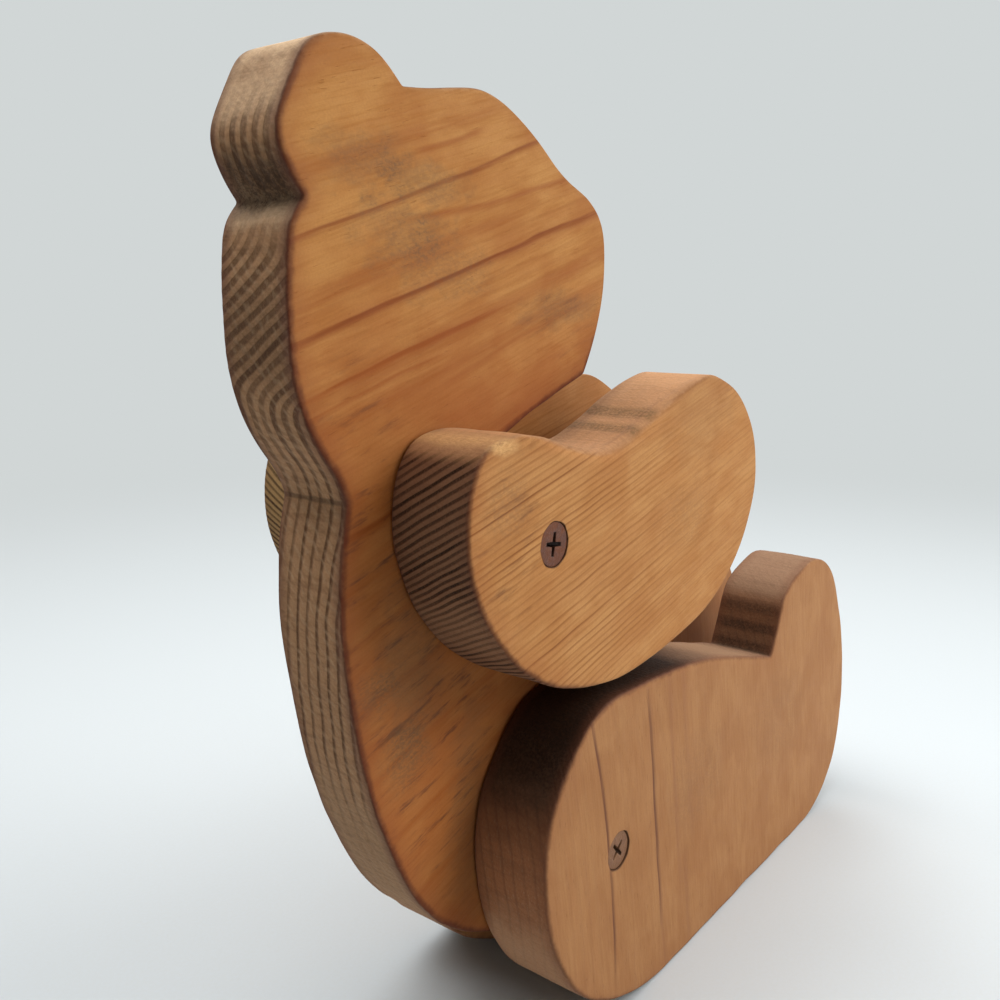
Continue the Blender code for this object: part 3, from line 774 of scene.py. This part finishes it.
def woodMaterial(name, kind, look):
    # Bare wood: face and rim colours, each darkened by rings, fibre, lines, dirt, painted shade and edges,
    # and lightened by wear and painted highlights
    material, tree, surface = startMaterial(name)
    angle = boards[kind]["grain"]
    board, grain = (attribute(tree, key, "Vector") for key in ("boardPlace", "grainPlace"))
    rim, endGrain, gap = (attribute(tree, key) for key in ("rim", "endGrain", "edgeGap"))
    x, y, z = split(board)
    dirtTo = look["dirtTo"]
    rings = useGroup(tree, growthRings, Phase=attribute(tree, "rings"), Place=grain,
                     To=y.rise(*dirtTo) if isinstance(dirtTo, tuple) else dirtTo, **look["rings"])
    fibre = useGroup(tree, woodFibre, Place=grain, Pores=look["pores"])
    edge = useGroup(tree, boardEdge, Gap=gap, Place=board, Width=look["edgeWidth"])
    saw = useGroup(tree, sawnRim, Place=board)

    # Face
    face = mix(fibre["Mottle"].rise(0.35, 0.65), look["faceDark"], look["faceLight"])
    face = layer(face, fibre["Broad"].rise(0.42, 0.68), look["streak"])
    if "low" in look:
        face = layer(face, y.fall(*look["low"]["from"]), look["low"]["layer"])
    across, *fade = look["ringFade"]
    patchy = noise(grain, (0.02, 0.10, 0.10), 3.0).rise(0.35, 0.65, 0.42, 1.0)
    ringShare = rings["Line"] * (x + y * across).rise(*fade) * patchy
    depth, ringTone = look["ring"]
    face = mix(ringShare * depth, face, ringTone)
    face = mix(fibre["Fine"].rise(0.40, 0.75) * look["fineDepth"], face, ringTone)
    face = mix(fibre["Pore"] * look["poreDepth"], face, look["lineTone"])
    if "lines" in look:
        face = lined(face, grain, angle, look["lineTone"], look["lines"])
    face = lined(face, grain, angle, *look["softLines"])
    # Dark grain dashes in zones; on the body most zones are painted shade below the neck and beside the arm
    # and the leg
    if "dashes" in look:
        tone, rows = look["dashes"]
        marks = noise(grain, (0.09, 0.55, 0.55), 4.0, 0.65).rise(0.50, 0.74)
        face = mix(marks * smudges(board, rows, 0.8), face, tone)
    # Dirt spots, and on the body painted shade beside the arm and the leg
    face = smudged(face, board, look["grimeAndShade"], 0.85)
    # The edges are dark where dirt gathered, and hardly where hands and light wore them
    slope, low, high, rest, below = look["edgeFade"]
    dirty = (x + y * slope).fall(low, high, rest).math("MAXIMUM", y.fall(below, below + 12.0))
    nearEdge = gap + fibre["Mottle"].swing(5.0)
    depth, tone = look["tint"]
    face = mix(nearEdge.rise(0.5, 7.0, depth, 0.0) * dirty, face, tone)

    # Rim: end grain where the fibres are cut across, side grain where the rim runs along them
    cut = endGrain.rise(*look["cut"])
    plain = 1.0 - smudges(board, look["rimPlain"], 0.9)
    ringRim = rings["Rib"] * saw["Fuzz"].rise(0.25, 0.60, 0.55, 1.0) * plain
    sides = mix(cut, *(mix(ringRim * depth, tone, look["rimDark"]) for depth, tone in look["rims"]))
    sides = mix(saw["Marks"].rise(0.42, 0.66) * look["sawDepth"], sides, look["rimDark"])
    sides = mix(saw["Fuzz"].rise(0.5, 0.75) * 0.25, sides, look["rimPale"])
    relief = ringRim * cut * -look["ridge"] + saw["Marks"] * 0.22 + saw["Grit"] * 0.05 + saw["Fuzz"] * 0.07
    if "hatch" in look:
        hatch = saw["Hatch"] * look["hatch"] * plain.math("MAXIMUM", 0.6)
        sides = mix(hatch, sides, look["rimPale"])
        relief = relief + hatch * 0.25
    # Pale rim spots: wear, and painted sheen, highlights and light on the ear, the arm and the leg
    sides = smudged(sides, board, look["rimWornAndLit"], 0.9)
    # Dark rim spots: dirt, and on the leg painted shade under the arm
    sides = smudged(sides, board, look["rimGrimeAndShade"], 0.96)
    sides = layer(sides, (gap + fibre["Mottle"].swing(2.0)).rise(-3.6, -0.4), look["byFace"])

    # Both
    colour = mix(rim.rise(0.15, 0.85), face, sides)
    rimGrit, faceGrit = look["grit"]
    grit = (rim * (rimGrit - faceGrit) + faceGrit) * saw["Grit"].rise(0.30, 0.70)
    colour = mix(grit, colour, look["gritTone"])
    colour = layer(colour, edge["Dark"] * dirty, look["edge"])
    colour = layer(colour, edge["Rub"] * (1.0 - dirty * 0.8), look["rub"])
    # Pale rubbed patches, with a painted highlight on the arm's top rear corner
    colour = smudged(colour, board, look.get("bareAndHighlight"), 0.9)
    colour = mix(attribute(tree, "bore") * 0.8, colour, look["boreTone"])
    rough = fibre["Fine"].rise(0.3, 0.8, 0.56, 0.72) + rim * 0.12
    faceRelief = fibre["Fine"] * -0.035 + ringShare * 0.03 + fibre["Pore"] * -0.05
    surface.inputs["Specular IOR Level"].default_value = 0.12
    finishSurface(surface, colour, rough, faceRelief * (1.0 - rim) + relief * rim)
    return material


# Tones are screen colours, and layers are a depth and a tone. rims has the depth of the dark
# bands and the ground tone, for side grain and for end grain, and grit is the rim's share and the
# face's. Lines are softness below, sharpness above, strength and points x, y in mm. Spots are x,
# y, length and height in mm, strength, grain and raggedness, after the tone that they share. A
# ring's dirt ends at dirtTo, which may rise with height: from, to, start, end. ringFade is the
# slope, from, to, start and end of the rings' strength along the board, and edgeFade the slope,
# from, to, rest and height of the dirt's end

woodLooks = {
    "body": {
        "rings": {"Wander": 0.5, "Rise": 0.35, "Vary": 0.7, "From": 0}, "dirtTo": (8, 30, 0.34, 0.58),
        "cut": (0.1, 0.75), "pores": 0.66, "edgeWidth": 1.2, "faceLight": (190, 134, 71),
        "faceDark": (174, 114, 54), "low": {"from": (5, 76), "layer": (0.58, (157, 82, 40))},
        "streak": (0.35, (166, 102, 50)), "ringFade": (0, -60, 60, 0.45, 0.6), "ring": (0.45, (138, 76, 26)),
        "fineDepth": 0.28, "poreDepth": 0.25, "lineTone": (125, 56, 10), "lines": [
            (2, 0.6, 0.9, -51.4, 42.9, -15.4, 53.9, 7.4, 61, 30.1, 67.3, 45.9, 72.2),
            (1.5, 0.6, 0.75, -49.5, 61.5, -23.6, 70.1, 20, 85), (2.4, 0.7, 0.8, -41, 5.6, -34, 7, -26, 9.4),
            (2.2, 0.7, 0.75, 11, 23, 26, 28, 42, 33)],
        "softLines": ((146, 76, 26), [
            (1.4, 0.6, 0.7, -51, 32, -30, 38.5, -4, 46), (1.3, 0.6, 0.6, -50, 28.5, -34, 33.5, -16, 38.5),
            (1.3, 0.8, 0.4, -48, 49.5, -30, 55, -8, 61.5), (1.8, 1, 0.5, -4, 36, 14, 42, 38, 49),
            (2.6, 1.2, 0.6, -42, -6, -24, 0, -6, 6), (2, 1.2, 0.5, -40, -17, -22, -11, -4, -5),
            (2.8, 1.4, 0.5, -38, -31, -20, -25, 0, -19), (2.2, 1.4, 0.5, -34, -47, -16, -41, 4, -35),
            (2.4, 1.4, 0.45, -28, -62, -12, -57, 8, -51), (2.4, 1.4, 0.45, -20, -78, -6, -73, 10, -68),
            (1.6, 0.8, 0.6, -16.3, 80, -8, 82.5, -0.9, 85.1),
            (1.8, 0.9, 0.6, -12.1, 68.1, 5, 71.5, 32, 78.2), (4, 2, 0.5, -30, 38, 0, 47, 40, 60),
            (3, 2.5, 0.5, -36, 29, 0, 40, 36, 51), (2.5, 2, 0.45, -42, 53, -20, 60, 5, 67),
            (2.5, 2.5, 0.4, -44, 74, -20, 82, 0, 88)]),
        # The first four zones, below the neck and beside the arm and the leg, are painted shade with some
        # dirt, drawn as grain dashes
        "dashes": ((84, 48, 36), [
            (-20, -28, 30, 38, 0.9, 0), (-12, -58, 20, 30, 0.8, 0), (-36, 30, 15, 15, 0.45, 0),
            (-33, 4, 16, 16, 0.8, 0), (30, 46, 24, 12, 0.3, 0)]),
        "grimeAndShade": ((110, 82, 56), [
            (-34, 76.5, 16, 7, 0.36, 0.55, 2.4), (-18, 73.5, 16, 6, 0.42, 0.55, 2.4),
            (-22, 64, 14, 6.5, 0.38, 0.55, 2.4), (-12, 57, 20, 8, 0.32, 0.8, 2.4),
            # From (-35, -28) on, the spots are painted shade beside the arm and along the leg, partly dirt
            (31, 48.5, 18, 5, 0.4, 0.5, 2), (-35, -28, 9, 7, 0.45, 0.9), (-23, -24, 12, 26, 0.42, 0.3, 1.6),
            (-4, -66, 9, 34, 0.38, 0.3, 1.6), (-25, -45, 9, 12, 0.45, 0.9)]),
        "tint": (0.42, (142, 78, 40)), "grit": (0.22, 0.12), "gritTone": (92, 58, 34),
        "rims": ((0.3, (194, 160, 124)), (0.88, (167, 126, 90))), "rimDark": (58, 26, 6),
        "rimPale": (178, 144, 110), "sawDepth": 0.32, "hatch": 0.44, "ridge": 0.22,
        # The first pale rim spot is wear with a painted sheen on the ear's top
        "rimWornAndLit": ((230, 196, 156), [
            (-38, 99, 13, 11, 0.9, 0.2), (-52, 88, 6, 9, 0.4, 0.3), (-48, 66, 5, 5, 0.5, 0.3),
            (-26, -70, 30, 30, 0.12, 0.3)]),
        "rimPlain": [
            (-42, 97, 18, 21, 1.3, 0, 0.8), (-49, 65, 10, 9, 0.6, 0, 0.8), (-20, -78, 34, 42, 0.9, 0, 0.8)],
        "rimGrimeAndShade": ((46, 32, 22), [
            (-48, 71, 11, 7, 0.9, 0.3, 0.9), (-54, 44, 6, 14, 0.42, 0.3, 0.8),
            (-39.5, 12.4, 2, 0.7, 0.6, 0.2), (-24, -70, 26, 26, 0.22, 0.2, 0.8)]),
        "edgeFade": (0.25, -28, -12, 0.12, 36), "edge": (0.75, (80, 33, 22)), "rub": (0.3, (190, 145, 104)),
        "byFace": (0.55, (98, 62, 50)), "boreTone": (70, 46, 28),
    },
    "arm": {
        "rings": {"Wander": 0.4, "Rise": 0.5, "Vary": 0.75, "From": 0.4}, "dirtTo": 0.87, "cut": (0.1, 0.5),
        "pores": 0.66, "edgeWidth": 0.8, "faceLight": (194, 139, 82), "faceDark": (182, 124, 68),
        "streak": (0.35, (174, 114, 62)), "ringFade": (-0.3, -20, 80, 1, 0.28),
        "ring": (0.95, (124, 66, 20)), "fineDepth": 0.25, "poreDepth": 0.22, "lineTone": (116, 62, 24),
        "softLines": ((150, 98, 58), [
            (2.4, 0.8, 0.5, 30, 24, 55, 29, 80, 37)]),
        "dashes": ((96, 56, 34), [(-14, 2, 14, 22, 0.6, 0)]), "grimeAndShade": ((124, 92, 64), [
            (-16, 10, 9, 9, 0.3, 0.9), (60, -4, 20, 12, 0.18, 0.9), (66, 24, 24, 18, 0.2, 0.3, 1.6)]),
        "tint": (0.3, (158, 94, 50)), "grit": (0.22, 0.12), "gritTone": (104, 66, 38),
        # These dark end-grain rims are partly painted shade, where the body shades the near arm's rear rim
        "rims": ((0.12, (198, 147, 102)), (1.15, (126, 88, 64))), "rimDark": (28, 12, 4),
        # The arm's pale rim spots are a painted highlight on the top rear corner and painted light on the
        # lower rear rim
        "rimPale": (150, 112, 80), "sawDepth": 0.12, "ridge": 0.22, "rimWornAndLit": ((156, 116, 86), [
            (-22, 25, 10, 5, 0.6, 0.4), (-19, -16, 10, 13, 0.34, 0.3, 0.8)]),
        "rimPlain": [(52, 30, 46, 14, 1.2, 0)], "rimGrimeAndShade": ((98, 78, 46), [
            (42, 24, 3.4, 4, 0.6, 0.6, 0.8), (34.5, 21, 2.8, 4, 0.6, 0.6, 0.8)]),
        # A pale rubbed patch with a painted highlight on the top rear corner
        "bareAndHighlight": ((224, 176, 116), [(-17.5, 22.8, 5.5, 2, 0.7, 0.5, 0.9)]),
        "edgeFade": (0.5, -14, 4, 0.22, -60), "edge": (0.68, (94, 50, 32)), "rub": (0.22, (206, 160, 116)),
        "byFace": (0.2, (96, 60, 44)), "boreTone": (74, 46, 28),
    },
    "leg": {
        "rings": {"Wander": 0.5, "Rise": 0.4, "Vary": 0.7, "From": 0.56}, "dirtTo": 0.86, "cut": (0.1, 0.75),
        "pores": 0.64, "edgeWidth": 0.8, "faceLight": (174, 124, 78), "faceDark": (164, 113, 69),
        "streak": (0.3, (160, 106, 64)), "ringFade": (0.18, 10, 60, 0.32, 0.12),
        "ring": (0.55, (140, 94, 62)), "fineDepth": 0.25, "poreDepth": 0.2, "lineTone": (92, 50, 40),
        "lines": [
            (1.4, 0.5, 0.85, -12.3, 34.1, -5.4, 4, -1.4, -22.8),
            (1.9, 0.5, 0.8, 13.8, 27.3, 18, 2, 21.6, -21.8)],
        "softLines": ((148, 100, 68), [
            (2.4, 1, 0.45, 24, 32, 28, 8, 33, -20), (2.4, 1.2, 0.35, 31, 36, 34, 16, 38, -4),
            (2, 1, 0.5, 22, -24, 24, -34, 26, -44), (3, 1.4, 0.45, 36, -20, 38, -32, 40, -44)]),
        "grimeAndShade": ((140, 100, 68), [(42, 2, 22, 18, 0.35, 0.8), (100, 0, 26, 22, 0.28, 0.8)]),
        "tint": (0.12, (150, 96, 60)), "grit": (0.18, 0.1), "gritTone": (98, 60, 36),
        "rims": ((0.36, (146, 94, 60)), (0.14, (146, 112, 86))), "rimDark": (70, 46, 32),
        # The pale rim spots are a painted sheen on the thigh's top and painted light on the lower rear rim
        "rimPale": (178, 146, 114), "sawDepth": 0.22, "ridge": 0.18, "rimWornAndLit": ((190, 150, 114), [
            (66, 34, 20, 12, 0.5, 0.2, 0.6), (-22, -30, 22, 30, 0.48, 0.2, 0.6),
            (-10, -46, 20, 10, 0.35, 0.3, 0.8)]),
        "rimPlain": [(60, 36, 34, 14, 1.1, 0), (12, 42, 48, 26, 1.1, 0), (122, 46, 40, 22, 1.1, 0)],
        # The first two dark rim spots are painted shade under the arm on the thigh's top and upper rear rim;
        # the others darken the instep in soft bands
        "rimGrimeAndShade": ((27, 16, 11), [
            (-12, 42, 46, 40, 0.97, 0.1, 0.3), (14, 42, 36, 24, 0.9, 0.1, 0.4),
            (93, 32, 9, 13.5, 0.54, 0.25, 0.5), (98, 38, 6, 2.4, 0.3, 0.3, 0.5),
            (94, 32, 6, 2, 0.3, 0.3, 0.5), (91, 26, 6, 2.4, 0.3, 0.3, 0.5)]),
        "edgeFade": (0, 106, 122, 0.25, -200), "edge": (0.52, (96, 54, 38)), "rub": (0.3, (190, 148, 110)),
        "byFace": (0.3, (112, 66, 44)), "boreTone": (70, 46, 30),
    },
}
bodyWood, armWood, legWood = (woodMaterial(kind + "Wood", kind, look) for kind, look in woodLooks.items())
# The left arm: a lit copy of the arm's wood, with paler end-grain rims in place of the painted shade and
# without the painted rim light
litLeftArmWood = woodMaterial("litLeftArmWood", "arm", {
    **woodLooks["arm"], "rims": (woodLooks["arm"]["rims"][0], (1.15, (168, 134, 88))),
    "rimDark": (70, 50, 30), "rimWornAndLit": None})


@nodeGroup(Place=None)
def tarnish(place):
    # Brown tarnish in soft patches, and pale scuffs where a driver has slipped
    return {"Brown": noise(place, (420, 420, 420), 4.0, 0.65, 0.6).rise(0.38, 0.60),
            "Scuff": noise(place, (900, 300, 1500), 4.0, 0.7, 0.8).rise(0.56, 0.70),
            "Grain": noise(place, (3000, 3000, 3000), 3.0, 0.6)}


steelLooks = {
    "arm": {"steel": (101, 52, 22), "brown": (85, 41, 16), "scuff": (0.55, (130, 80, 46)),
            "dirt": (0.9, (24, 15, 10))},
    "leg": {"steel": (134, 93, 62), "brown": (120, 78, 47), "scuff": (0.55, (158, 123, 87)),
            "dirt": (0.8, (58, 36, 20))},
}


def screwSteel(name, look):
    # Browned steel, dirty in the recess, scuffed pale on the head
    material, tree, surface = startMaterial(name)
    place = Value(tree.nodes.new("ShaderNodeTexCoord").outputs["Object"])
    marks = useGroup(tree, tarnish, Place=place)
    colour = mix(marks["Brown"], look["steel"], look["brown"])
    colour = layer(colour, marks["Scuff"], look["scuff"])
    colour = layer(colour, attribute(tree, "recess"), look["dirt"])
    tree.links.new(marks["Brown"].rise(0.0, 1.0, 0.55, 0.25).socket, surface.inputs["Metallic"])
    finishSurface(surface, colour, marks["Grain"].rise(0.3, 0.7, 0.42, 0.60),
                  marks["Grain"] * 0.03 + marks["Brown"] * 0.05)
    return material


armSteel, legSteel = (screwSteel(kind + "ScrewSteel", look) for kind, look in steelLooks.items())
print("materials made")

bodyHoles = [pilotHole(line - shoulder, facing) for facing in (1, -1) for line in (shoulder, hip)]
armHoles, legHoles = [limbHole("arm", sunk=0.3)], [limbHole("leg", sunk=0.5)]
boardPiece("head_and_body", "body", 1, bodyHoles, bodyWood, body="torso")
boardPiece("right_arm", "arm", 1, armHoles, armWood)
boardPiece("left_arm", "arm", -1, armHoles, litLeftArmWood, tilt=math.radians(1.2), shift=1.7)
boardPiece("right_leg", "leg", 1, legHoles, legWood)
boardPiece("left_leg", "leg", -1, legHoles, legWood, shift=2.3)
for node, side, turn in (("right_arm_screw", 1, -9), ("left_arm_screw", -1, 31)):
    screwPiece(node, side, shoulder, headTop=29.85, turn=math.radians(turn), material=armSteel)
for node, side, turn in (("right_leg_screw", 1, 43), ("left_leg_screw", -1, 18)):
    screwPiece(node, side, hip, headTop=30.35, turn=math.radians(turn), material=legSteel, clear=0.35)


# Floor, world and lamps: screen colours and metres

stageLook = {
    "floor": (211, 218, 222), "backdrop": (209, 214, 214), "radius": 3.0, "corners": 96, "fade": (0.02, 0.95),
    "worldLight": 0.095, "lampDistance": 1.2, "lampSize": 0.9, "middle": 0.09,
    "lamps": {
        # azimuth and elevation in degrees, power in watts
        "rightLow": (-52, 22, 8.2), "rightHigh": (-52, 42, 6.2), "front": (40, 40, 4.5),
        "left": (118, 52, 5.6), "top": (172, 76, 8.3),
    },
}


def seenDirectly(tree):
    # 1 where the camera or a reflection sees the surface
    path = tree.nodes.new("ShaderNodeLightPath").outputs
    return Value(path["Is Camera Ray"]).math("MAXIMUM", Value(path["Is Glossy Ray"]))


def mixShaders(share, first, second, output):
    mixed = addNode(share.tree, "ShaderNodeMixShader", {0: share, 1: Value(first), 2: Value(second)})
    share.tree.links.new(mixed.outputs[0], output.inputs["Surface"])


def floorMaterial():
    # Matt paper near the bear, which fades with distance into the even tone of the backdrop
    material, tree, paper = startMaterial("floorPaper")
    paper.inputs["Roughness"].default_value = 0.9
    paper.inputs["Specular IOR Level"].default_value = 0.2
    place = Value(tree.nodes.new("ShaderNodeTexCoord").outputs["Object"])
    tone = mix(noise(place, (900, 900, 900), 2.0), stageLook["floor"], stageLook["backdrop"])
    tree.links.new(tone.socket, paper.inputs["Base Color"])
    even = addNode(tree, "ShaderNodeEmission", {"Color": linearColour(stageLook["backdrop"])})
    away = addNode(tree, "ShaderNodeVectorMath", [place], operation="LENGTH").outputs["Value"]
    mixShaders(Value(away).rise(*stageLook["fade"]) * seenDirectly(tree), paper.outputs[0], even.outputs[0],
               tree.nodes["Material Output"])
    return material


around = np.arange(stageLook["corners"]) * 2 * np.pi / stageLook["corners"]
ring = np.column_stack([np.cos(around), np.sin(around), 0 * around]) * stageLook["radius"]
floorMesh = bpy.data.meshes.new("floor")
floorMesh.from_pydata(ring.tolist(), [], [list(range(len(ring)))])
floorMesh.materials.append(floorMaterial())
floor = bpy.data.objects.new("floor", floorMesh)
scene.collection.objects.link(floor)


def studioWorld():
    # An even soft light all round, and the backdrop's tone for the camera and for reflections
    world = bpy.data.worlds.new("studio")
    world.use_nodes = True
    tree = world.node_tree
    soft = tree.nodes["Background"]
    soft.inputs["Color"].default_value = (1, 1, 1, 1)
    soft.inputs["Strength"].default_value = stageLook["worldLight"]
    backdrop = addNode(tree, "ShaderNodeBackground", {"Color": linearColour(stageLook["backdrop"])})
    mixShaders(seenDirectly(tree), soft.outputs[0], backdrop.outputs[0], tree.nodes["World Output"])
    return world


def softLamp(name, azimuth, elevation, power):
    # A round lamp on a sphere round the bear, facing its middle
    lamp = bpy.data.lights.new(name, "AREA")
    lamp.shape = "DISK"
    lamp.size = stageLook["lampSize"]
    lamp.energy = power
    placed = bpy.data.objects.new(name, lamp)
    scene.collection.objects.link(placed)
    turn, rise = math.radians(azimuth), math.radians(elevation)
    outward = Vector((math.cos(turn) * math.cos(rise), math.sin(turn) * math.cos(rise), math.sin(rise)))
    placed.location = outward * stageLook["lampDistance"] + Vector((0, 0, stageLook["middle"]))
    placed.rotation_euler = (-outward).to_track_quat("-Z", "Y").to_euler()


scene.world = studioWorld()
for name, values in stageLook["lamps"].items():
    softLamp(name, *values)
print("floor, world and lamps made")
